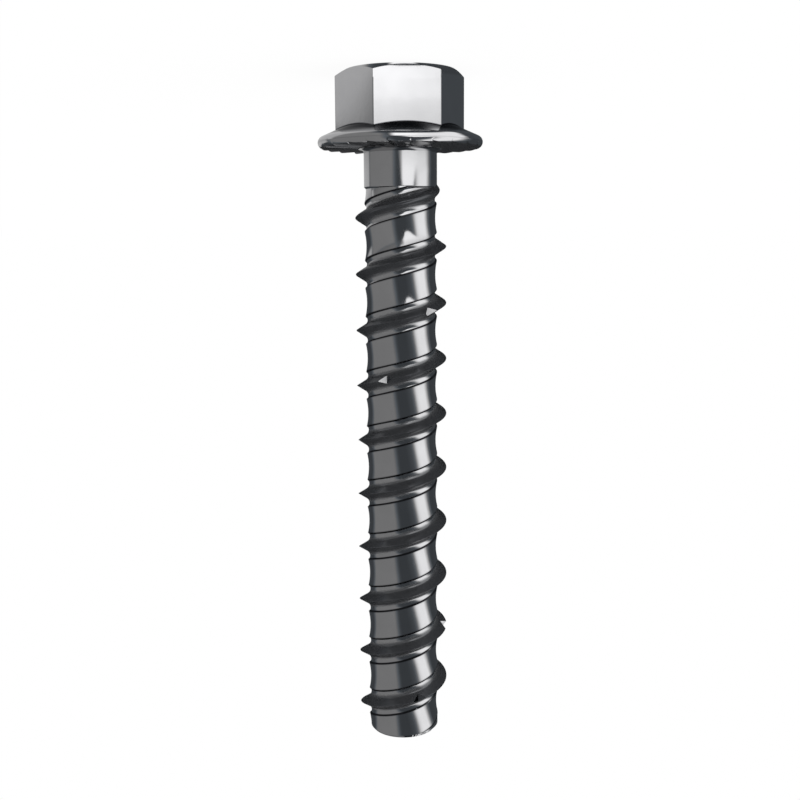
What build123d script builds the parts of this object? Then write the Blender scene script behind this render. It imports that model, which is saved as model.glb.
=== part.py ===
from build123d import *

import os
from math import ceil, cos, pi, radians, sin, tan

# Hex flange concrete screw, one piece of steel with a headed, a plain and a rolled length.
# It stands on the flat top of its head, which is centred on the origin, with its tip up (+Z).
# A corner of the hexagon points along +X. All sizes are in millimetres.

os.makedirs("parts", exist_ok=True)

# Hexagon
wrench_size = 15.0
head_height = 10.2  # flat top of the head to the bearing face of the flange
top_face_diameter = 14.5
top_chamfer_angle = 30.0

# Flange, with a conical upper side and a round rim
flange_diameter = 22.0
flange_slope = 24.0
rim_radius = 0.83

# Sawtooth serrations on the bearing face, whose steep sides bite when the screw is turned loose
serration_count = 24
serration_depth = 0.35  # at the rim
serration_inner_diameter = 11.2

# Shank
under_head_length = 81.1  # bearing face to tip
shank_diameter = 9.8
plain_length = 5.0  # bearing face to the edge where the rolled length starts
plain_edge_length = 0.35
tip_diameter = 8.8
tip_chamfer_length = 0.28

# Right-handed thread, on a core that is waisted between its turns
thread_diameter = 12.34
thread_pitch = 7.59
full_thread_at = 8.9  # bearing face to the crest where it first passes +X
root_diameter = 9.1
root_half_width = 0.97
lip_diameter = 9.74
lip_half_width = 1.9
waist_diameter = 9.3
runout_start = 3.6  # bearing face to where the crest rises out of the shank
runout_length = 5.45
fade_length = 3.5  # last of the thread, which falls to the core at the tip

# Cutting notches, spaced along the thread
notch_count = 8
notch_first_angle = 170.5  # degrees along the thread from +X
notch_spacing = 423.5  # degrees
notch_depth = 0.8
notch_half_width = 1.0  # at the crest

overshoot = 0.5  # how far a cutter or an envelope stands past what it shapes

bearing_z = head_height
plain_end_z = bearing_z + plain_length
tip_z = bearing_z + under_head_length
crest_radius = thread_diameter / 2
crest_z_at_x = bearing_z + full_thread_at


def turned(*outline):
    """Solid turned about Z from a closed outline in the XZ plane."""
    return revolve(Plane.XZ * make_face(*outline), Axis.Z)


def hexagon():
    """Hex prism, whose top corners are chamfered by a cone."""
    radius = flange_diameter / 2
    cone_depth = (radius - top_face_diameter / 2) * tan(radians(top_chamfer_angle))
    blank = turned(
        Polyline(
            (0, 0),
            (top_face_diameter / 2, 0),
            (radius, cone_depth),
            (radius, head_height),
            (0, head_height),
            close=True,
        )
    )
    section = RegularPolygon(wrench_size / 2, side_count=6, major_radius=False)
    return extrude(section, head_height - rim_radius) & blank


def rim_point(angle):
    """Point on the round of the rim, at an angle from its widest place towards the bearing face."""
    centre_x = flange_diameter / 2 - rim_radius
    centre_z = bearing_z - rim_radius
    return (centre_x + rim_radius * cos(angle), centre_z + rim_radius * sin(angle))


def flange():
    """Washer that is forged with the head: cone, round rim and flat bearing face.

    Below its widest place, where the serrations cut it, the round is three narrow cones.
    """
    slope = radians(flange_slope)
    cone_end = rim_point(slope - pi / 2)
    above_widest = rim_point((slope - pi / 2) / 2)
    below_widest = [rim_point(step * pi / 6) for step in range(4)]
    apex = (0, cone_end[1] - cone_end[0] * tan(slope))
    return turned(
        [
            Line(apex, cone_end),
            ThreePointArc(cone_end, above_widest, below_widest[0]),
            Polyline(*below_widest, (0, bearing_z), apex),
        ]
    )


def serration_gap():
    """Cutter for the gap between two crests, with a ramp on one side and a steep wall on the other.

    Its planes all meet where the bearing face crosses the axis, so the gap gets deeper outwards.
    """
    radius = flange_diameter / 2 + overshoot
    half_width = radius * tan(radians(180 / serration_count))
    depth = serration_depth * radius / (flange_diameter / 2)
    centre = (0, 0, bearing_z)
    ends = [
        (radius, half_width, bearing_z - depth),
        (radius, half_width, bearing_z + depth),
        (radius, -3 * half_width, bearing_z + depth),
    ]
    faces = [Face(Wire.make_polygon(ends, close=True))]
    for near, far in zip(ends, ends[1:] + ends[:1]):
        faces.append(Face(Wire.make_polygon([centre, near, far], close=True)))
    wedge = Solid(Shell(Face.sew_faces(faces)[0]))
    plain_ring = Cylinder(serration_inner_diameter / 2, 4 * head_height)
    return wedge - plain_ring


def head():
    gap = serration_gap()
    first_angle = 180 / serration_count
    gaps = [place * gap for place in PolarLocations(0, serration_count, first_angle)]
    return hexagon() + flange() - gaps


def plain_shank():
    """Shank under the flange, down to the edge where the rolled length starts."""
    radius = shank_diameter / 2
    core_radius = waist_diameter / 2
    edge_end_z = plain_end_z + plain_edge_length
    return turned(
        Polyline(
            (0, bearing_z - overshoot),
            (radius, bearing_z - overshoot),
            (radius, plain_end_z),
            (core_radius, edge_end_z),
            (0, edge_end_z),
            close=True,
        )
    )


def thread_profile():
    """Corners of one pitch of the rolled length, as (height over the crest, radius)."""
    waist = (thread_pitch / 2, waist_diameter / 2)
    lip = (lip_half_width, lip_diameter / 2)
    root = (root_half_width, root_diameter / 2)
    over_crest = [root, lip, waist]
    under_crest = [(-height, radius) for height, radius in reversed(over_crest)]
    return under_crest + [(0, crest_radius)] + over_crest


def turn_helix(radius, z):
    """One turn of a helix that starts over +X."""
    return Edge.make_helix(thread_pitch, thread_pitch, radius, center=(0, 0, z))


def threaded_bar(first_z, turns):
    """Bar of whole turns of the thread, whose first crest starts over +X at first_z.

    Its surface is a set of ruled strips, each between two corners of the profile. Each end is
    a ramp round the axis, and a flat wall between where the ramp starts and where it ends.
    """
    profile = thread_profile()
    faces = []
    for turn in range(turns):
        crest_z = first_z + turn * thread_pitch
        corners = [turn_helix(radius, crest_z + height) for height, radius in profile]
        faces += [Face.make_surface_from_curves(*pair) for pair in zip(corners, corners[1:])]
    for end_z in (first_z, first_z + turns * thread_pitch):
        ramp_z = end_z + profile[0][0]
        ramp_end_z = end_z + profile[-1][0]
        axis_line = Edge.make_line((0, 0, ramp_z), (0, 0, ramp_end_z))
        rim = turn_helix(profile[0][1], ramp_z)
        faces.append(Face.make_surface_from_curves(axis_line, rim))
        wall = [(radius, 0, end_z + height) for height, radius in profile]
        wall += [(0, 0, ramp_end_z), (0, 0, ramp_z)]
        faces.append(Face(Wire.make_polygon(wall, close=True)))
    return Solid(Shell(Face.sew_faces(faces)[0]))


def rolled_length():
    """Threaded bar, trimmed by a turned envelope in which the thread rises and fades.

    It starts inside the plain shank, because the thread runs out on it.
    """
    start_z = bearing_z + runout_start
    hidden_z = start_z - overshoot
    full_z = start_z + runout_length
    rise = (crest_radius - shank_diameter / 2) / runout_length
    chamfer_z = tip_z - tip_chamfer_length
    fall = (crest_radius - waist_diameter / 2) / fade_length
    envelope = turned(
        Polyline(
            (0, hidden_z),
            (shank_diameter / 2 - overshoot * rise, hidden_z),
            (crest_radius + overshoot * rise, full_z + overshoot),
            (crest_radius + overshoot * fall, chamfer_z - fade_length - overshoot),
            (waist_diameter / 2, chamfer_z),
            (tip_diameter / 2, tip_z),
            (0, tip_z),
            close=True,
        )
    )
    first_z = crest_z_at_x
    while first_z + thread_pitch / 2 > hidden_z:
        first_z -= thread_pitch
    turns = ceil((tip_z - first_z + thread_pitch / 2) / thread_pitch)
    return threaded_bar(first_z, turns) & envelope


def notch_cutter(angle):
    """V cutter whose bottom edge is parallel to the axis, set over the crest at an angle along it."""
    reach = notch_depth + overshoot
    half_width = notch_half_width * reach / notch_depth
    root = crest_radius - notch_depth
    section = Polygon((root, 0), (root + reach, -half_width), (root + reach, half_width), align=None)
    length = 2 * (root_half_width + overshoot)
    low_z = crest_z_at_x + thread_pitch * angle / 360 - length / 2
    return Pos(0, 0, low_z) * Rot(0, 0, angle) * extrude(section, length)


def screw():
    notch_angles = [notch_first_angle + notch_spacing * number for number in range(notch_count)]
    thread = rolled_length() - [notch_cutter(angle) for angle in notch_angles]
    return head() + plain_shank() + thread


export_step(screw(), "parts/concrete_screw.step")
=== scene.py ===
from math import atan2, cos, pi, radians, sin, sqrt, tan

import bmesh
import bpy
import numpy as np
from mathutils import Matrix, Vector


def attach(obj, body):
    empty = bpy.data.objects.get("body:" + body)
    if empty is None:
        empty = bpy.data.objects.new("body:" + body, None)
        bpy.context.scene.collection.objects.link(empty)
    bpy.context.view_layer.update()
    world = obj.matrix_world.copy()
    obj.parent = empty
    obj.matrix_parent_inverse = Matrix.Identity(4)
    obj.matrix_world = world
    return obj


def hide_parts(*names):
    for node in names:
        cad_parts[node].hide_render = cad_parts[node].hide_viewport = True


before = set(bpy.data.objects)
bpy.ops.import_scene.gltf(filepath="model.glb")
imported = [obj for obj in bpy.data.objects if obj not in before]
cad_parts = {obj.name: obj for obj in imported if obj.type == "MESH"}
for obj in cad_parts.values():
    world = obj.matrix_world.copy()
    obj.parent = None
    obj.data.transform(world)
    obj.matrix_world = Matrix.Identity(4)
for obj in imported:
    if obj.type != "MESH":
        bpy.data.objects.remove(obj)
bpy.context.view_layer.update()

# All sizes of the screw are in millimetres until a mesh is made
MM = 0.001

# Head
WRENCH = 15.0
HEAD_HEIGHT = 10.2
TOP_FACE_RADIUS = 7.25
TOP_FACE_ROWS = (6.9, 7.1)  # radii of the rows of points that keep the top face flat
TOP_CHAMFER = radians(30)
CORNER_ROUND = 0.15
TOP_EDGE_ROUND = 0.25
CHAMFER_EDGE_ROUND = 0.1
NECK_ROUND = 0.1  # between the hexagon and the flange
EDGE_GAP = 0.05  # from the round of an edge to the next row of points

# Flange and its serrations
FLANGE_RADIUS = 11.0
FLANGE_SLOPE = radians(24)
RIM_ROUND = 0.83
SERRATIONS = 24
SERRATION_DEPTH = 0.35
SERRATION_INNER_RADIUS = 5.6
SERRATION_END = 0.02  # what the wall at the inner end takes up of the radius
STEEP_WALL = 0.12  # degrees that a steep wall takes up
RAMP_MIDDLE = 8.0  # radius of a row of points across the ramps
RAMP_GAP = 0.04  # from each end of the ramps to the next row
COLUMNS_PER_SERRATION = 12

# Degrees off a corner of the hexagon, for the columns of points that follow its round
COLUMNS_PAST_CORNER = [0.165, 0.33, 0.495]
COLUMNS_BEFORE_CORNER = [0.495, 0.33, 0.2]

# Shank
SHANK_RADIUS = 4.9
UNDER_HEAD_ROUND = 0.5
STEP_TOP = 15.2  # where the shank ends, at a small step
STEP_LENGTH = 0.24
STEP_EDGE_ROUND = 0.1
SHANK_ROWS = (HEAD_HEIGHT + 0.7, STEP_TOP - 0.2)  # heights of the rows of points between its rounds
TIP = 91.3
TIP_RADIUS = 4.4
TIP_CHAMFER = 0.28

# Thread
PITCH = 7.59
CREST_AT_X = 19.1  # height of the crest where it first passes +X
CREST_RADIUS = 6.17
CREST_ROUND = 0.02
FLANK_SLOPE = 1.67  # fall of the radius for each millimetre off the crest
GROOVE_RADIUS = 4.61  # bottom of the groove that is rolled on each side of the thread
GROOVE_ROUND = 0.8
LIP_RADIUS = 4.87
LIP_WALL = 1.73  # off the crest, where the lip's steep wall starts
LIP_HALF_WIDTH = 1.9
WAIST_RADIUS = 4.65
RUNOUT_START = 13.8
RUNOUT_LENGTH = 5.45
FADE_START = 87.52
FADE_LENGTH = 3.5
GROOVE_FILLS = (88.0, 91.5)  # heights of the crest from which and to which the grooves fill up
GROOVE_FILLING = 0.9  # share of their depth that is gone at the end
FOOT_ROUND = 0.03  # between the ridge and the core
TRIM_ROUND = 0.1  # where the envelope trims a full thread, and more where it trims a lower one
TRIM_ROUND_GROWTH = 1.2
DEEPEST_TRIM = 1.1

# Grid of points on the rolled length
COLUMNS_PER_TURN = 80
FIRST_CREST = 11.0  # hidden in the shank
LAST_CREST = TIP + PITCH / 2 + 0.5  # past the tip
ROWS_OFF_CREST = [
    0.02, 0.05, 0.11, 0.19, 0.28, 0.38, 0.49, 0.6, 0.7, 0.79, 0.87, 0.95, 1.03, 1.11, 1.2, 1.29, 1.39,
    1.49, 1.58, 1.66, 1.715, 1.745, 1.8, 1.85, 1.885, 1.9, 1.915, 1.95, 2.1, 2.4, 2.8, 3.25, PITCH / 2,
]

# Cutting notches
NOTCHES = 8
NOTCH_FIRST = 172.5  # degrees along the thread from +X
NOTCH_SPACING = 423.2
NOTCH_DEPTH = 0.9
NOTCH_HALF_WIDTH = 1.1
NOTCH_REACH = 1.47  # along the axis, each way from the crest
CUTTER_OVERSHOOT = 0.5  # how far a cutter stands out past the crest


# Values along a line

def value_at(stops, place):
    """Value at a place between stops, which are pairs of a place and its value."""
    return np.interp(place, [stop for stop, _ in stops], [value for _, value in stops])


def blend(before, after, share):
    return before + (after - before) * share


def smooth_share(value, start, end):
    """How far a value has come from a start to an end, gently at both."""
    share = np.clip((value - start) / (end - start), 0, 1)
    return share * share * (3 - 2 * share)


def soft_least(one, other, width):
    """The lesser of two values, rounded off where they are within a width of each other."""
    near = np.clip(1 - np.abs(one - other) / width, 0, 1)
    return np.minimum(one, other) - near**2 * width / 4


def soft_most(one, other, width):
    return -soft_least(-one, -other, width)


def between(value, low, high):
    return (value > low) & (value < high)


# Outline of the head and the plain shank

def round_corner(before, corner, after, radius, steps):
    """Points of the arc that rounds a corner between two straight lines."""
    before, corner, after = (np.array(point, float) for point in (before, corner, after))
    towards_before = (before - corner) / np.linalg.norm(before - corner)
    towards_after = (after - corner) / np.linalg.norm(after - corner)
    half_angle = np.arccos(np.dot(towards_before, towards_after)) / 2
    tangent = radius / tan(half_angle)
    middle = towards_before + towards_after
    centre = corner + middle / np.linalg.norm(middle) * radius / sin(half_angle)
    first = corner + towards_before * tangent - centre
    last = corner + towards_after * tangent - centre
    turn = pi - 2 * half_angle
    shares = np.linspace(0, 1, steps + 1)
    return [
        tuple(centre + (sin((1 - share) * turn) * first + sin(share * turn) * last) / sin(turn))
        for share in shares
    ]


def hexagon_radius(angle):
    """Distance from the axis to the hexagon's wall, whose corners are slightly rounded."""
    from_corner = abs((angle + 30) % 60 - 30)
    centre = (WRENCH / 2 - CORNER_ROUND) / cos(pi / 6)
    round_end = atan2(CORNER_ROUND / 2, centre + CORNER_ROUND * cos(pi / 6))
    off = radians(from_corner)
    if off < round_end:
        return centre * cos(off) + sqrt(CORNER_ROUND**2 - (centre * sin(off)) ** 2)
    return WRENCH / 2 / cos(pi / 6 - off)


def rim_point(turn):
    """Point of the rim's round, at an angle from its widest place towards the bearing face."""
    return (
        FLANGE_RADIUS - RIM_ROUND + RIM_ROUND * cos(turn),
        HEAD_HEIGHT - RIM_ROUND + RIM_ROUND * sin(turn),
    )


CONE_END = rim_point(FLANGE_SLOPE - pi / 2)


def cone_height(radius):
    """Height of the flange's cone, which ends where the rim's round starts."""
    return CONE_END[1] + (radius - CONE_END[0]) * tan(FLANGE_SLOPE)


def ramp_height(radius, depth_share):
    """Height of a serration's ramp, which gets deeper outwards."""
    return HEAD_HEIGHT - SERRATION_DEPTH * depth_share * radius / FLANGE_RADIUS


def rim_end(depth_share):
    """Angle at which the rim's round meets the bottom of a serration."""
    low, high = 0.0, pi / 2
    for _ in range(40):
        turn = (low + high) / 2
        radius, height = rim_point(turn)
        if height < ramp_height(radius, depth_share):
            low = turn
        else:
            high = turn
    return high


def head_outline(angle, depth_share):
    """Half section of the head and plain shank at one angle, from the top face to inside the core."""
    wall = hexagon_radius(angle)
    top_edge = (TOP_FACE_RADIUS, 0.0)
    chamfer_edge = (wall, (wall - TOP_FACE_RADIUS) * tan(TOP_CHAMFER))
    neck = (wall, cone_height(wall))
    inner = SERRATION_INNER_RADIUS
    shank_corner = (SHANK_RADIUS, HEAD_HEIGHT)
    shank_end = (SHANK_RADIUS, STEP_TOP)
    inside = (SHANK_RADIUS - 2 * (SHANK_RADIUS - WAIST_RADIUS), STEP_TOP + 2 * STEP_LENGTH)

    chamfer_round = round_corner(top_edge, chamfer_edge, neck, CHAMFER_EDGE_ROUND, 4)
    neck_round = round_corner(chamfer_edge, neck, CONE_END, NECK_ROUND, 6)
    points = [(0.0, 0.0), *((radius, 0.0) for radius in TOP_FACE_ROWS)]
    points += round_corner((0, 0), top_edge, chamfer_edge, TOP_EDGE_ROUND, 4)
    points += chamfer_round
    points += [(wall, chamfer_round[-1][1] + EDGE_GAP), (wall, neck_round[0][1] - EDGE_GAP)]
    points += neck_round

    cone_rows = np.linspace(neck_round[-1][0] + EDGE_GAP, CONE_END[0] - EDGE_GAP, 4)
    points += [(radius, cone_height(radius)) for radius in cone_rows]
    points += [rim_point(turn) for turn in np.linspace(FLANGE_SLOPE - pi / 2, 0, 10)]
    points += [rim_point(turn) for turn in np.linspace(0, rim_end(depth_share), 9)[1:]]
    ramp_rows = (points[-1][0] - RAMP_GAP, RAMP_MIDDLE, inner + RAMP_GAP, inner)
    points += [(radius, ramp_height(radius, depth_share)) for radius in ramp_rows]
    points += [(inner - SERRATION_END, HEAD_HEIGHT), (inner - 3 * SERRATION_END, HEAD_HEIGHT)]

    points += round_corner((inner, HEAD_HEIGHT), shank_corner, shank_end, UNDER_HEAD_ROUND, 4)
    points += [(SHANK_RADIUS, height) for height in SHANK_ROWS]
    points += round_corner(shank_corner, shank_end, inside, STEP_EDGE_ROUND, 3)
    points += [inside, (0.0, inside[1])]
    return points


def head_angles():
    """Angles of the half sections, each with the depth that the serration has reached there."""
    step = 360 / SERRATIONS
    ramp = step - STEEP_WALL
    angles = []
    for number in range(SERRATIONS):
        start = number * step
        offsets = [*np.linspace(0, step, COLUMNS_PER_SERRATION + 1)[:-1], ramp]
        if start % 60 == 0:
            offsets += COLUMNS_PAST_CORNER
        if (start + step) % 60 == 0:
            offsets += [step - off for off in COLUMNS_BEFORE_CORNER]
        angles += [(start + offset, min(offset / ramp, 1.0)) for offset in sorted(offsets)]
    return angles


# Meshes

def mesh_object(name, points, faces):
    mesh = bpy.data.meshes.new(name)
    mesh.from_pydata([tuple(point) for point in np.asarray(points) * MM], [], faces)
    shape = bmesh.new()
    shape.from_mesh(mesh)
    bmesh.ops.recalc_face_normals(shape, faces=shape.faces)
    shape.to_mesh(mesh)
    shape.free()
    made = bpy.data.objects.new(name, mesh)
    bpy.context.scene.collection.objects.link(made)
    return made


def turned_grid(name, angles, outlines):
    """Closed body from half sections whose first and last points are on the axis."""
    rows = len(outlines[0]) - 2
    points = [(0, 0, outlines[0][0][1]), (0, 0, outlines[0][-1][1])]
    for angle, outline in zip(angles, outlines):
        turn = radians(angle)
        points += [(radius * cos(turn), radius * sin(turn), height) for radius, height in outline[1:-1]]
    faces = []
    for column in range(len(angles)):
        here = 2 + column * rows
        there = 2 + (column + 1) % len(angles) * rows
        faces.append((0, there, here))
        faces.append((1, here + rows - 1, there + rows - 1))
        for row in range(rows - 1):
            faces.append((here + row, there + row, there + row + 1, here + row + 1))
    return mesh_object(name, points, faces)


def head_and_shank():
    sections = head_angles()
    outlines = [head_outline(angle, depth_share) for angle, depth_share in sections]
    return turned_grid("head_and_shank", [angle for angle, _ in sections], outlines)


# Rolled thread

def envelope_radius(height):
    """Radius that trims the thread where it rises out of the shank and where it fades at the tip."""
    rise = (CREST_RADIUS - SHANK_RADIUS) / RUNOUT_LENGTH
    fall = (CREST_RADIUS - WAIST_RADIUS) / FADE_LENGTH
    rising = SHANK_RADIUS + (height - RUNOUT_START) * rise
    falling = CREST_RADIUS - (height - FADE_START) * fall
    return np.minimum(rising, falling)


# The groove's round touches the flank, which sets how far off the crest its bottom is
FLANK_LENGTH = sqrt(1 + FLANK_SLOPE**2)
GROOVE_OFF_CREST = (CREST_RADIUS - GROOVE_RADIUS + (FLANK_LENGTH - 1) * GROOVE_ROUND) / FLANK_SLOPE
FLANK_HALF_WIDTH = GROOVE_OFF_CREST - GROOVE_ROUND * FLANK_SLOPE / FLANK_LENGTH


def groove_radius(away):
    """Round bottom of the groove, at a distance off the crest."""
    off_bottom = np.clip(away, FLANK_HALF_WIDTH, LIP_WALL) - GROOVE_OFF_CREST
    return GROOVE_RADIUS + GROOVE_ROUND - np.sqrt(GROOVE_ROUND**2 - off_bottom**2)


def core_radius(away, crest_height):
    """Core between the turns: waist, lips and the grooves, which fill up near the tip."""
    groove = groove_radius(np.maximum(away, GROOVE_OFF_CREST))
    wall_share = np.clip((away - LIP_WALL) / (LIP_HALF_WIDTH - LIP_WALL), 0, 1)
    groove = blend(groove, LIP_RADIUS, wall_share)
    filled = smooth_share(crest_height, *GROOVE_FILLS)
    groove = groove + (LIP_RADIUS - groove) * GROOVE_FILLING * filled
    waist_share = np.clip((away - LIP_HALF_WIDTH) / (PITCH / 2 - LIP_HALF_WIDTH), 0, 1)
    waist = LIP_RADIUS - (LIP_RADIUS - WAIST_RADIUS) * (1 - (1 - waist_share) ** 2)
    return np.where(away > LIP_HALF_WIDTH, waist, groove)


def ridge_radius(away):
    """Thread without its trimming: two straight flanks and the rounds at their feet."""
    flank = CREST_RADIUS - FLANK_SLOPE * np.sqrt(away**2 + CREST_ROUND**2)
    foot = groove_radius(np.minimum(away, GROOVE_OFF_CREST))
    return np.where(away < FLANK_HALF_WIDTH, flank, foot)


def rolled_radius(off_crest, crest_height):
    """Radius of the rolled length, at a height off the crest of the nearest turn."""
    away = np.abs(off_crest)
    trim = np.clip(CREST_RADIUS - envelope_radius(crest_height), 0, DEEPEST_TRIM)
    trim_round = TRIM_ROUND + TRIM_ROUND_GROWTH * trim
    ridge = soft_least(ridge_radius(away), envelope_radius(crest_height + off_crest), trim_round)
    return soft_most(core_radius(away, crest_height), ridge, FOOT_ROUND)


def column_at(crest_height):
    return round((crest_height - CREST_AT_X) / PITCH * COLUMNS_PER_TURN)


def rolled_length():
    """Closed bar with the whole rolled thread, whose rows of points follow its helix.

    The last row of a column is the first row of the column one turn later, so only the columns
    of the last turn have points of their own for it.
    """
    columns = np.arange(column_at(FIRST_CREST), column_at(LAST_CREST) + 1)
    turn = columns / COLUMNS_PER_TURN * 2 * pi
    crest_height = CREST_AT_X + PITCH * columns / COLUMNS_PER_TURN
    offsets = np.array([-off for off in ROWS_OFF_CREST[::-1]] + [0.0] + ROWS_OFF_CREST)
    radius = rolled_radius(offsets[None, :], crest_height[:, None])
    height = crest_height[:, None] + offsets
    grid = np.stack([radius * np.cos(turn)[:, None], radius * np.sin(turn)[:, None], height], axis=2)

    count, rows = radius.shape
    last_turn = count - COLUMNS_PER_TURN
    points = [*grid[:, :-1].reshape(-1, 3), *grid[last_turn:, -1]]
    index = np.empty((count, rows), int)
    index[:, :-1] = np.arange(count * (rows - 1)).reshape(count, rows - 1)
    index[:last_turn, -1] = index[COLUMNS_PER_TURN:, 0]
    index[last_turn:, -1] = np.arange(count * (rows - 1), len(points))
    faces = []
    for here, there in zip(index, index[1:]):
        faces += zip(here, there, there[1:], here[1:])

    # Each end is a ramp round the axis, and a flat wall between where the ramp starts and ends
    for start, rim_row, wall in ((0, 0, index[0]), (last_turn - 1, rows - 1, index[-1])):
        whole_turn = slice(start, start + COLUMNS_PER_TURN + 1)
        rim = index[whole_turn, rim_row]
        axis_line = range(len(points), len(points) + COLUMNS_PER_TURN + 1)
        points += [(0, 0, rim_height) for rim_height in height[whole_turn, rim_row]]
        faces += zip(axis_line, axis_line[1:], rim[1:], rim)
        faces.append([*axis_line, *wall[::-1]])
    faces = [tuple(int(corner) for corner in face) for face in faces]
    return mesh_object("rolled_length", points, faces)


def tip_cutter():
    """What lies outside the tip's flat end and its chamfer, turned about the axis."""
    columns = 192
    reach = 4.0
    top = TIP + 12
    chamfer_slope = (WAIST_RADIUS - TIP_RADIUS) / TIP_CHAMFER
    outline = [(0, TIP), (TIP_RADIUS, TIP), (TIP_RADIUS + reach * chamfer_slope, TIP - reach)]
    outline += [(TIP_RADIUS + reach * chamfer_slope, top), (0, top)]
    angles = [360 / columns * number for number in range(columns)]
    return turned_grid("tip_cutter", angles, [outline] * columns)


def notch_cutters():
    """V wedges that stand across the crest, one for each notch."""
    reach = NOTCH_DEPTH + CUTTER_OVERSHOOT
    half_width = NOTCH_HALF_WIDTH * reach / NOTCH_DEPTH
    bottom = CREST_RADIUS - NOTCH_DEPTH
    corners = [(bottom, 0.0), (bottom + reach, -half_width), (bottom + reach, half_width)]
    points, faces = [], []
    for number in range(NOTCHES):
        along = NOTCH_FIRST + NOTCH_SPACING * number
        turn = radians(along)
        crest = CREST_AT_X + PITCH * along / 360
        first = len(points)
        for end in (-1, 1):
            for out, aside in corners:
                x = out * cos(turn) - aside * sin(turn)
                y = out * sin(turn) + aside * cos(turn)
                points.append((x, y, crest + end * NOTCH_REACH))
        low, high = [first, first + 1, first + 2], [first + 3, first + 4, first + 5]
        faces += [low[::-1], high]
        for one, two in ((0, 1), (1, 2), (2, 0)):
            faces.append([low[one], low[two], high[two], high[one]])
    return mesh_object("notch_cutters", points, faces)


def combine(body, other, operation):
    """Joins another closed body to a body, or cuts it away."""
    change = body.modifiers.new(operation, "BOOLEAN")
    change.operation = operation
    change.solver = "MANIFOLD"
    change.object = other
    bpy.context.view_layer.update()
    result = body.evaluated_get(bpy.context.evaluated_depsgraph_get())
    mesh = bpy.data.meshes.new_from_object(result)
    body.modifiers.clear()
    body.data = mesh
    bpy.data.objects.remove(other)


def smooth(piece, sharp_over):
    mesh = piece.data
    mesh.polygons.foreach_set("use_smooth", [True] * len(mesh.polygons))
    mesh.set_sharp_from_angle(angle=radians(sharp_over))
    mesh.update()


# Kinds of surface

ON_SURFACE = 0.03  # how close to the rolled surface a face of it lies
BELOW_SURFACE = 0.06  # how far under it a face of a notch lies


def off_crest(places):
    """How far places are off the crest of the nearest turn, along the axis."""
    along = np.degrees(np.arctan2(places[:, 1], places[:, 0])) / 360
    turns = (places[:, 2] - CREST_AT_X) / PITCH - along
    return (turns - np.round(turns)) * PITCH


def nearest_notch(places):
    """Number of the notch that each place is nearest to, and whether it is past that notch's bottom."""
    along = (places[:, 2] - off_crest(places) - CREST_AT_X) / PITCH * 360 - NOTCH_FIRST
    number = np.round(along / NOTCH_SPACING)
    return number, along > number * NOTCH_SPACING


def rolled_normals(places):
    """Normals of the rolled surface, from how its radius changes along the axis and round it."""
    turn = np.arctan2(places[:, 1], places[:, 0])
    off = off_crest(places)
    crest = places[:, 2] - off
    step = 0.001
    radius = rolled_radius(off, crest)
    along = (rolled_radius(off + step, crest) - rolled_radius(off - step, crest)) / (2 * step)
    rise = PITCH / (2 * pi) * step
    after, before = rolled_radius(off - rise, crest + rise), rolled_radius(off + rise, crest - rise)
    around = (after - before) / (2 * step)
    lean = around / radius
    out_x, out_y = np.cos(turn), np.sin(turn)
    return np.stack([out_x + lean * out_y, out_y - lean * out_x, -along], axis=1)


def read_all(items, name, kind=float, width=1):
    """One property of all vertices, faces or corners of a mesh."""
    values = np.empty(len(items) * width, kind)
    items.foreach_get(name, values)
    return values


class Surface:
    """Corners of a mesh in millimetres, with the kind of surface that each of its faces is on."""

    def __init__(self, mesh):
        points = read_all(mesh.vertices, "co", width=3).reshape(-1, 3) / MM
        centres = read_all(mesh.polygons, "center", width=3).reshape(-1, 3) / MM
        self.sides = read_all(mesh.polygons, "loop_total", int)
        self.corners = points[read_all(mesh.loops, "vertex_index", int)]
        self.centres = self.for_corners(centres)

        # Where the middle of a face lies tells its kind, with a little room for how flat it is
        out, height = np.hypot(centres[:, 0], centres[:, 1]), centres[:, 2]
        off = off_crest(centres)
        rolled = rolled_radius(off, height - off)
        threaded = between(height, RUNOUT_START, TIP - TIP_CHAMFER)
        cut = threaded & (out < rolled - BELOW_SURFACE)
        plain = between(out, SHANK_RADIUS - 0.02, SHANK_RADIUS + 0.005)
        plain &= between(height, HEAD_HEIGHT + UNDER_HEAD_ROUND, STEP_TOP - STEP_EDGE_ROUND)
        shank = plain & ((rolled < SHANK_RADIUS) | (height < RUNOUT_START))
        thread = threaded & ~cut & ~shank & (np.abs(out - rolled) < ON_SURFACE)
        self.cut = self.for_corners(cut)
        self.shank = self.for_corners(shank)
        self.thread = self.for_corners(thread)

        flange_top = between(height, 6, HEAD_HEIGHT - 1) & (out > WRENCH / 2)
        under_flange = between(height, HEAD_HEIGHT - 0.4, HEAD_HEIGHT + 0.1)
        under_flange &= between(out, SHANK_RADIUS + UNDER_HEAD_ROUND, FLANGE_RADIUS - 0.3)
        under_head = between(height, HEAD_HEIGHT - 0.01, HEAD_HEIGHT + UNDER_HEAD_ROUND - 0.02)
        under_head &= out < SERRATION_INNER_RADIUS
        self.flange_top = self.for_corners(flange_top)
        self.under_flange = self.for_corners(under_flange)
        self.under_head = self.for_corners(under_head)
        self.tip_edge = self.for_corners(between(height, TIP - TIP_CHAMFER - 0.02, TIP - 0.005))

    def for_corners(self, faces):
        return np.repeat(faces, self.sides, axis=0)


# Painted shade on the steel: a dark colour that darkens the creases, recesses and flanks and what they
# reflect, as shares of its full strength

PAINTED_SHADE_OFF_CREST = [
    (0.0, 0.96), (0.6, 0.94), (1.0, 0.78), (1.15, 0.25), (1.3, 0.0),
    (1.68, 0.0), (1.72, 0.8), (1.92, 0.8), (1.96, 0.0),
]
PAINTED_SHADE_ON_FLANGE = [(9.4, 0.88), (10.3, 0.0)]  # at distances from the axis
PAINTED_SHADE_UNDER_FLANGE = 0.88
PAINTED_SHADE_UNDER_HEAD = 0.4
PAINTED_SHADE_ON_TIP_EDGE = 0.65

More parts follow.
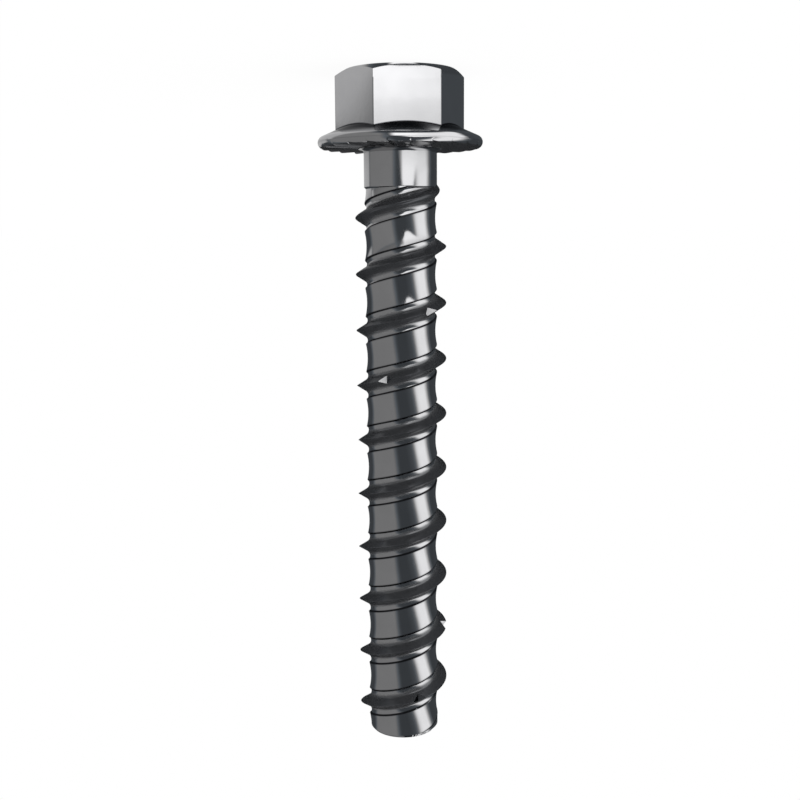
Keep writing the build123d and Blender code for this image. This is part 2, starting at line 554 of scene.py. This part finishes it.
# How matte the steel is
MATTE_FLANK = 0.46  # under full painted shade
FLANK_END = 1.3  # off the crest
MATTE_UNDER_FLANGE = 0.25
MATTE_SHADED_NOTCH = 0.5

# Numbers of the notches with painted shade: one on both faces, the other before its bottom
SHADED_NOTCH = 7
HALF_SHADED_NOTCH = 2


def mark_finish_and_painted_shade(mesh, surface):
    """Marks painted shade, the matte faces and the bare cut faces, for the steel's material to read.

    The painted shade is a dark colour on the rolled flanks and creases, in the corner under the hexagon,
    under the flange and on the round beside the shank, on the tip's chamfer, and in one notch and on one
    face of another. The other notches are bare cut faces without it.
    """
    # Painted shade: a dark colour in the creases and recesses and on the flanks, which darkens their
    # reflections
    rolled_painted_shade = value_at(PAINTED_SHADE_OFF_CREST, np.abs(off_crest(surface.corners)))
    flange_painted_shade = value_at(PAINTED_SHADE_ON_FLANGE, np.hypot(surface.corners[:, 0], surface.corners[:, 1]))
    painted_shade = np.where(surface.thread, rolled_painted_shade, 0.0)
    painted_shade = np.where(surface.flange_top, flange_painted_shade, painted_shade)
    painted_shade = np.where(surface.under_flange, PAINTED_SHADE_UNDER_FLANGE, painted_shade)
    painted_shade = np.where(surface.under_head, PAINTED_SHADE_UNDER_HEAD, painted_shade)
    painted_shade = np.where(surface.tip_edge, PAINTED_SHADE_ON_TIP_EDGE, painted_shade)
    painted_shade = np.where(surface.cut, 1.0, painted_shade)

    # Painted shade in the notches: dark colour on both faces of one notch and on the face before the
    # bottom of another; the rest are bare
    notch, past_bottom = nearest_notch(surface.centres)
    polished_shaded = (notch == SHADED_NOTCH) & past_bottom | (notch == HALF_SHADED_NOTCH) & ~past_bottom
    bare = surface.cut & ~polished_shaded & (notch != SHADED_NOTCH)
    flank = surface.thread & (np.abs(off_crest(surface.centres)) < FLANK_END)
    matte = np.where(flank, rolled_painted_shade * MATTE_FLANK, 0.0)
    matte = np.where(surface.under_flange, MATTE_UNDER_FLANGE, matte)
    matte = np.where(surface.cut & ~polished_shaded, MATTE_SHADED_NOTCH, matte)
    matte = np.where(bare, 1.0, matte)
    for name, values in (("painted_shade", painted_shade), ("cut", bare), ("matte", matte)):
        made = mesh.attributes.new(name, "FLOAT", "CORNER")
        made.data.foreach_set("value", np.asarray(values, float))


def true_normals(mesh, surface):
    """Gives the shank and the thread the normals of the surfaces that their facets stand for."""
    # Just inside each face, so that the normals of two faces differ where an edge is sharp
    inside = blend(surface.corners, surface.centres, 0.1)
    normals = np.where(surface.thread[:, None], rolled_normals(inside), 0.0)
    normals = np.where(surface.shank[:, None], inside * (1, 1, 0), normals)
    lengths = np.linalg.norm(normals, axis=1, keepdims=True)
    normals = normals / np.where(lengths > 0, lengths, 1)
    mesh.normals_split_custom_set(normals.tolist())


screw = rolled_length()
combine(screw, tip_cutter(), "DIFFERENCE")
combine(screw, notch_cutters(), "DIFFERENCE")
combine(screw, head_and_shank(), "UNION")
screw.name = "screw"
smooth(screw, 30)
screw_surface = Surface(screw.data)
mark_finish_and_painted_shade(screw.data, screw_surface)
true_normals(screw.data, screw_surface)


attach(screw, "root")
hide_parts("concrete_screw")


# Camera, which stands the picture on its head because the screw stands on its own

EYE_HEIGHT = 21.73
EYE_DISTANCE = 151.775
EYE_ANGLE = 276.96
AXIS_OFF_CENTRE = 0.254
PITCH_DOWN = radians(8.371)
ROLL = radians(-0.37986)


def look_from_the_photograph():
    towards = Vector((cos(radians(EYE_ANGLE)), sin(radians(EYE_ANGLE)), 0))
    right = Vector((towards.y, -towards.x, 0))
    place = towards * EYE_DISTANCE - right * AXIS_OFF_CENTRE + Vector((0, 0, EYE_HEIGHT))
    ahead = -towards * cos(PITCH_DOWN) + Vector((0, 0, sin(PITCH_DOWN)))
    down = towards * sin(PITCH_DOWN) + Vector((0, 0, cos(PITCH_DOWN)))
    across = right * cos(ROLL) - down * sin(ROLL)
    below = right * sin(ROLL) + down * cos(ROLL)
    data = bpy.data.cameras.new("camera")
    data.lens = 50
    data.sensor_width = 36
    data.clip_start = 0.005
    data.clip_end = 20
    camera = bpy.data.objects.new("camera", data)
    bpy.context.scene.collection.objects.link(camera)
    axes = Matrix((across, -below, -ahead)).transposed()
    camera.matrix_world = Matrix.Translation(place * MM) @ axes.to_4x4()
    bpy.context.scene.camera = camera


look_from_the_photograph()


# Steel

STEEL_COLOUR = (0.56, 0.56, 0.57, 1)
CUT_COLOUR = (0.64, 0.64, 0.65, 1)
# Dark colour of the painted shade
PAINTED_SHADE_COLOUR = (0.06, 0.063, 0.069, 1)
STEEL_EDGE_TINT = (1, 1, 1, 1)
# Dimmed edge tint of the reflections under the painted shade
PAINTED_SHADE_EDGE_TINT = (0.3, 0.3, 0.3, 1)
POLISHED_ROUGHNESS = (0.09, 0.12)
MATTE_ROUGHNESS = 0.3
MATTE_METALLIC = 0.2


def bright_steel():
    """Polished steel, with painted shade, a dark colour in its creases, recesses and flanks, and matte
    faces where it was cut.
    """
    material = bpy.data.materials.new("bright_steel")
    material.use_nodes = True
    nodes, links = material.node_tree.nodes, material.node_tree.links
    surface = nodes["Principled BSDF"]
    place = nodes.new("ShaderNodeTexCoord")

    def marked(name):
        mark = nodes.new("ShaderNodeAttribute")
        mark.attribute_name = name
        return mark.outputs["Fac"]

    def mixed(kind, share, before, after):
        mix = nodes.new("ShaderNodeMix")
        mix.data_type = kind
        links.new(share, mix.inputs["Factor"])
        for socket, value in (("A", before), ("B", after)):
            if isinstance(value, bpy.types.NodeSocket):
                links.new(value, mix.inputs[socket])
            else:
                mix.inputs[socket].default_value = value
        return mix.outputs["Result"]

    def mottle(scale, detail, low, high):
        noise = nodes.new("ShaderNodeTexNoise")
        noise.inputs["Scale"].default_value = scale
        noise.inputs["Detail"].default_value = detail
        links.new(place.outputs["Object"], noise.inputs["Vector"])
        spread = nodes.new("ShaderNodeMapRange")
        spread.inputs["From Min"].default_value = 0.3
        spread.inputs["From Max"].default_value = 0.7
        spread.inputs["To Min"].default_value = low
        spread.inputs["To Max"].default_value = high
        links.new(noise.outputs["Fac"], spread.inputs["Value"])
        return spread.outputs["Result"]

    # Painted shade: the steel turns to a dark colour where the mesh is marked
    with_painted_shade = mixed("RGBA", marked("painted_shade"), STEEL_COLOUR, PAINTED_SHADE_COLOUR)
    colour = mixed("RGBA", marked("cut"), with_painted_shade, CUT_COLOUR)
    shade = nodes.new("ShaderNodeHueSaturation")
    links.new(colour, shade.inputs["Color"])
    links.new(mottle(350, 3, 0.97, 1.03), shade.inputs["Value"])
    links.new(shade.outputs["Color"], surface.inputs["Base Color"])

    # Painted shade also dims the edge tint of the reflections
    edge_tint = mixed("RGBA", marked("painted_shade"), STEEL_EDGE_TINT, PAINTED_SHADE_EDGE_TINT)
    links.new(edge_tint, surface.inputs["Specular Tint"])

    roughness = mixed("FLOAT", marked("matte"), mottle(500, 3, *POLISHED_ROUGHNESS), MATTE_ROUGHNESS)
    links.new(roughness, surface.inputs["Roughness"])
    links.new(mixed("FLOAT", marked("matte"), 1.0, MATTE_METALLIC), surface.inputs["Metallic"])

    bump = nodes.new("ShaderNodeBump")
    bump.inputs["Strength"].default_value = 0.03
    bump.inputs["Distance"].default_value = 0.00005
    links.new(mottle(900, 2, 0, 1), bump.inputs["Height"])
    links.new(bump.outputs["Normal"], surface.inputs["Normal"])
    return material


screw.data.materials.clear()
screw.data.materials.append(bright_steel())


# Studio: a light tent round the screw, which only its reflections see

# Angles of the tent are in degrees from the camera's side, and grow to its right
TENT_RADIUS = 85
TENT_HEIGHT = 260
TENT_FLOOR = 0.05
RING_RADIUS = 45  # of the cards that stand on the tent's floor
NEAR_CARD_RADIUS = 10
CARD_FOOT = 0.1

DARK, GREY, LIGHT, BRIGHT, WHITE = 0.068, 0.28, 0.6, 1.3, 1.66
COOL_TINT = (0.9, 1.0, 1.1)
COOL_UNDER = 0.2  # brightness under which the cloth is tinted

# Brightness of the wall and the ceiling
WALL = [
    (-180, 0.045), (-160, DARK), (-122, DARK), (-114, 0.13), (-110, 0.187), (-104, 0.27), (-27, GREY),
    (-22, 0.205), (-13, 0.09), (-8, DARK), (18, DARK), (34, 0.1), (40, 0.16), (44, GREY), (49, 0.72),
    (54, 1.13), (62, BRIGHT), (84, BRIGHT), (88, 1.0), (92, 0.72), (96, 0.42), (99, 0.2), (110, DARK),
    (145, DARK), (160, 0.045), (180, 0.045),
]
CEILING = [(-180, LIGHT), (-115, LIGHT), (-95, GREY), (-30, 0.14), (-10, DARK), (180, DARK)]

# Brightness of the standing cards, and how high they stand
CARDS = [
    (-180, 0.55), (-114, 0.55), (-108, 0.25), (-17, 0.14), (-8, 0.13), (-2, 0.25), (3, 0.7), (7, 1.38),
    (38, 1.38), (46, 1.3), (54, 1.2), (79, 1.12), (85, 0.9), (90, 0.6), (96, 0.24), (104, 0.095),
    (112, DARK),
]
CARD_TOPS = [
    (-108, 19), (-12, 6), (-8, 7), (-2, 10), (2, 12.5), (8, 14.5), (12, 19), (17, 19.8), (22, 19.5),
    (27, 18), (31, 16.5), (36, 14.5), (41, 12.5), (45, 11.5), (52, 11), (112, 10),
]
NEAR_CARD = [(-34, GREY), (-31, GREY), (-27, WHITE), (10, WHITE), (38, 1.45), (42, DARK), (44, DARK)]

# Brightness of the floor, on the left and behind
FLOOR_GREY = [(30, 0.29), (80, 0.18)]  # at distances from the axis
FLOOR_BEHIND = 0.085
FLOOR_BEHIND_STARTS = [(20, 80), (35, 91), (85, 94)]  # angles, at distances from the axis
FLOOR_FADED = 0.16

# Straight line on the floor that passes the screw's left side
LINE_ASIDE = -12
LINE_AHEAD = 5.8
LINE_SLOPE = 0.37


def floor_level(angle, radius):
    """Brightness of the tent's floor, at an angle and a distance from the axis."""
    aside = radius * np.sin(np.radians(angle))
    ahead = radius * np.cos(np.radians(angle))
    grey = value_at(FLOOR_GREY, radius)
    edge = value_at(FLOOR_BEHIND_STARTS, radius)
    right = [(edge - 6, BRIGHT), (edge + 6, FLOOR_BEHIND), (180, FLOOR_BEHIND)]
    inner = [(-24, grey), (-13, DARK), (-6, WHITE), (8, WHITE), (24, 1.42), (36, BRIGHT), *right]
    outer = [(-24, grey), (-12, 0.12), (45, 0.12), (48, 0.2), (55, BRIGHT), *right]
    past_ring = smooth_share(radius, RING_RADIUS - 1, RING_RADIUS + 3)
    level = blend(value_at(inner, angle), value_at(outer, angle), past_ring)

    # The left is lighter beyond the straight line, and fades far behind the screw
    beyond = (ahead - LINE_AHEAD - LINE_SLOPE * (aside - LINE_ASIDE)) / sqrt(1 + LINE_SLOPE**2)
    soft = 1.2 + 0.06 * radius
    lighter = (1 - smooth_share(beyond, -soft, soft)) * smooth_share(-angle, 30, 38)
    level = blend(level, LIGHT, lighter)
    faded = smooth_share(-angle, 112, 118) * smooth_share(radius, RING_RADIUS + 1, RING_RADIUS + 5)
    level = blend(level, FLOOR_FADED, faded)

    # A dark patch lies in front of the head and close round it
    patch = 1 - smooth_share(np.hypot(aside - 1, ahead - 8), 8.0, 11.0)
    patch = np.maximum(patch, 1 - smooth_share(radius, 11.0, 12.0)) * smooth_share(angle, -46, -22)
    level = blend(level, DARK, patch)

    # The patch is bright close to the head's edge in front, where the chamfer is narrowest
    at_edge = (1 - smooth_share(radius, 7.6, 8.4)) * (1 - smooth_share(np.abs(angle - 3), 8, 16))
    return blend(level, WHITE, at_edge)


def tent_panel(name, angles, levels, radii, heights):
    """Part of the tent, in rows that each have one point for each angle."""
    count = len(angles)
    points, faces, shades = [], [], []
    for level, radius, row_height in zip(levels, radii, heights):
        for angle, shade, height in zip(angles, level, np.broadcast_to(row_height, count)):
            turn = radians(EYE_ANGLE - angle)
            points.append((radius * cos(turn), radius * sin(turn), height))
            tint = COOL_TINT if shade < COOL_UNDER else (1, 1, 1)
            shades += [*(shade * part for part in tint), 1.0]
    for row in range(len(levels) - 1):
        for step in range(count - 1):
            here = row * count + step
            faces.append((here, here + 1, here + count + 1, here + count))
    panel = mesh_object(name, points, faces)
    glow = panel.data.attributes.new("glow", "FLOAT_COLOR", "POINT")
    glow.data.foreach_set("color", shades)
    panel.visible_camera = False
    panel.visible_diffuse = False
    panel.visible_shadow = False
    return panel


def tent_shell():
    """Wall, floor and ceiling of the tent."""
    angles = np.linspace(-180, 180, 271)
    wall = value_at(WALL, angles)
    ceiling = value_at(CEILING, angles)
    high = np.maximum(wall, ceiling)
    wall_heights = [0, 150, 190, TENT_HEIGHT]
    # The rows of the floor start just inside the head's edge and get wider outwards
    reaches = [6.9, *np.arange(7.5, 22, 0.5), *range(23, 60), 70, TENT_RADIUS]
    floor = [floor_level(angles, reach) for reach in reaches]
    return [
        tent_panel("tent_wall", angles, [wall, wall, high, high], [TENT_RADIUS] * 4, wall_heights),
        tent_panel("tent_floor", angles, floor, reaches, [TENT_FLOOR] * len(reaches)),
        tent_panel("tent_ceiling", angles, [ceiling] * 2, [8, TENT_RADIUS], [TENT_HEIGHT] * 2),
    ]


def standing_cards():
    """Two cards round the screw: behind it on the left, and from in front to the right.

    The foot of the second is as bright as the floor.
    """
    cards = []
    for start, end, like_floor in ((-180, -108, False), (-12, 112, True)):
        angles = np.linspace(start, end, 125)
        card, behind, top = (value_at(stops, angles) for stops in (CARDS, WALL, CARD_TOPS))
        foot = floor_level(angles, RING_RADIUS) if like_floor else card
        # From the foot up, the last row is as bright as the wall that shows over the card
        levels = [foot, foot * 0.87, card * 0.82, card * 1.05, card, behind]
        heights = [CARD_FOOT, 3.5, np.minimum(7, top - 2), np.minimum(11, top - 1.5), top - 1, top + 1]
        cards.append(tent_panel("card", angles, levels, [RING_RADIUS] * 6, heights))
    return cards


def near_cards():
    """A card close to the head, and one just outside it, for what its left end shows outwards."""
    angles = np.linspace(-34, 44, 79)
    card = value_at(NEAR_CARD, angles)
    outer_angles = np.linspace(-34.5, -5, 31)
    outer = floor_level(outer_angles, 10.6)
    outer = blend(outer, WHITE, smooth_share(outer_angles, -13, -6))
    outer_radius = NEAR_CARD_RADIUS + 0.05
    return [
        tent_panel("near_card", angles, [card] * 2, [NEAR_CARD_RADIUS] * 2, [CARD_FOOT, 1.7]),
        tent_panel("near_card_back", outer_angles, [outer] * 2, [outer_radius] * 2, [CARD_FOOT, 1.68]),
    ]


def glowing_cloth():
    material = bpy.data.materials.new("glowing_cloth")
    material.use_nodes = True
    nodes, links = material.node_tree.nodes, material.node_tree.links
    nodes.clear()
    shade = nodes.new("ShaderNodeAttribute")
    shade.attribute_name = "glow"
    glow = nodes.new("ShaderNodeEmission")
    output = nodes.new("ShaderNodeOutputMaterial")
    links.new(shade.outputs["Color"], glow.inputs["Color"])
    links.new(glow.outputs["Emission"], output.inputs["Surface"])
    return material


def light_tent():
    panels = tent_shell() + standing_cards() + near_cards()
    cloth = glowing_cloth()
    for panel in panels:
        panel.data.materials.append(cloth)


def seen_directly(nodes, links):
    """A factor that is 1 for what the camera, a reflection or a clear body shows.

    It is 0 for the light that falls on the screw.
    """
    path = nodes.new("ShaderNodeLightPath")
    total = path.outputs["Is Camera Ray"]
    for name in ("Is Glossy Ray", "Is Transmission Ray"):
        either = nodes.new("ShaderNodeMath")
        either.operation = "MAXIMUM"
        links.new(total, either.inputs[0])
        links.new(path.outputs[name], either.inputs[1])
        total = either.outputs["Value"]
    return total


def white_world():
    world = bpy.data.worlds.new("studio")
    bpy.context.scene.world = world
    world.use_nodes = True
    nodes, links = world.node_tree.nodes, world.node_tree.links
    back = nodes["Background"]
    back.inputs["Color"].default_value = (1, 1, 1, 1)
    level = nodes.new("ShaderNodeMapRange")
    level.inputs["To Min"].default_value = 0.7
    level.inputs["To Max"].default_value = 1.0
    links.new(seen_directly(nodes, links), level.inputs["Value"])
    links.new(level.outputs["Result"], back.inputs["Strength"])


def pale_floor():
    size = 4000
    corners = [(-size, -size, 0), (size, -size, 0), (size, size, 0), (-size, size, 0)]
    floor = mesh_object("floor", corners, [(0, 1, 2, 3)])
    material = bpy.data.materials.new("floor")
    material.use_nodes = True
    nodes, links = material.node_tree.nodes, material.node_tree.links
    nodes.clear()
    paint = nodes.new("ShaderNodeBsdfDiffuse")
    paint.inputs["Color"].default_value = (0.9, 0.9, 0.9, 1)
    white = nodes.new("ShaderNodeEmission")
    share = nodes.new("ShaderNodeMath")
    share.operation = "MULTIPLY"
    share.inputs[1].default_value = 0.95
    mix = nodes.new("ShaderNodeMixShader")
    output = nodes.new("ShaderNodeOutputMaterial")
    links.new(seen_directly(nodes, links), share.inputs[0])
    links.new(share.outputs["Value"], mix.inputs["Fac"])
    links.new(paint.outputs["BSDF"], mix.inputs[1])
    links.new(white.outputs["Emission"], mix.inputs[2])
    links.new(mix.outputs["Shader"], output.inputs["Surface"])
    floor.data.materials.append(material)


def soft_lamp():
    """Sun on the camera's right, which no reflection shows."""
    data = bpy.data.lights.new("soft_lamp", "SUN")
    data.angle = radians(50)
    data.energy = 1.5
    lamp = bpy.data.objects.new("soft_lamp", data)
    turn = radians(EYE_ANGLE - 50)
    lamp.rotation_euler = Vector((cos(turn), sin(turn), 2.5)).to_track_quat("Z", "Y").to_euler()
    lamp.visible_glossy = False
    bpy.context.scene.collection.objects.link(lamp)


light_tent()
white_world()
pale_floor()
soft_lamp()

bpy.context.scene.view_settings.view_transform = "Standard"
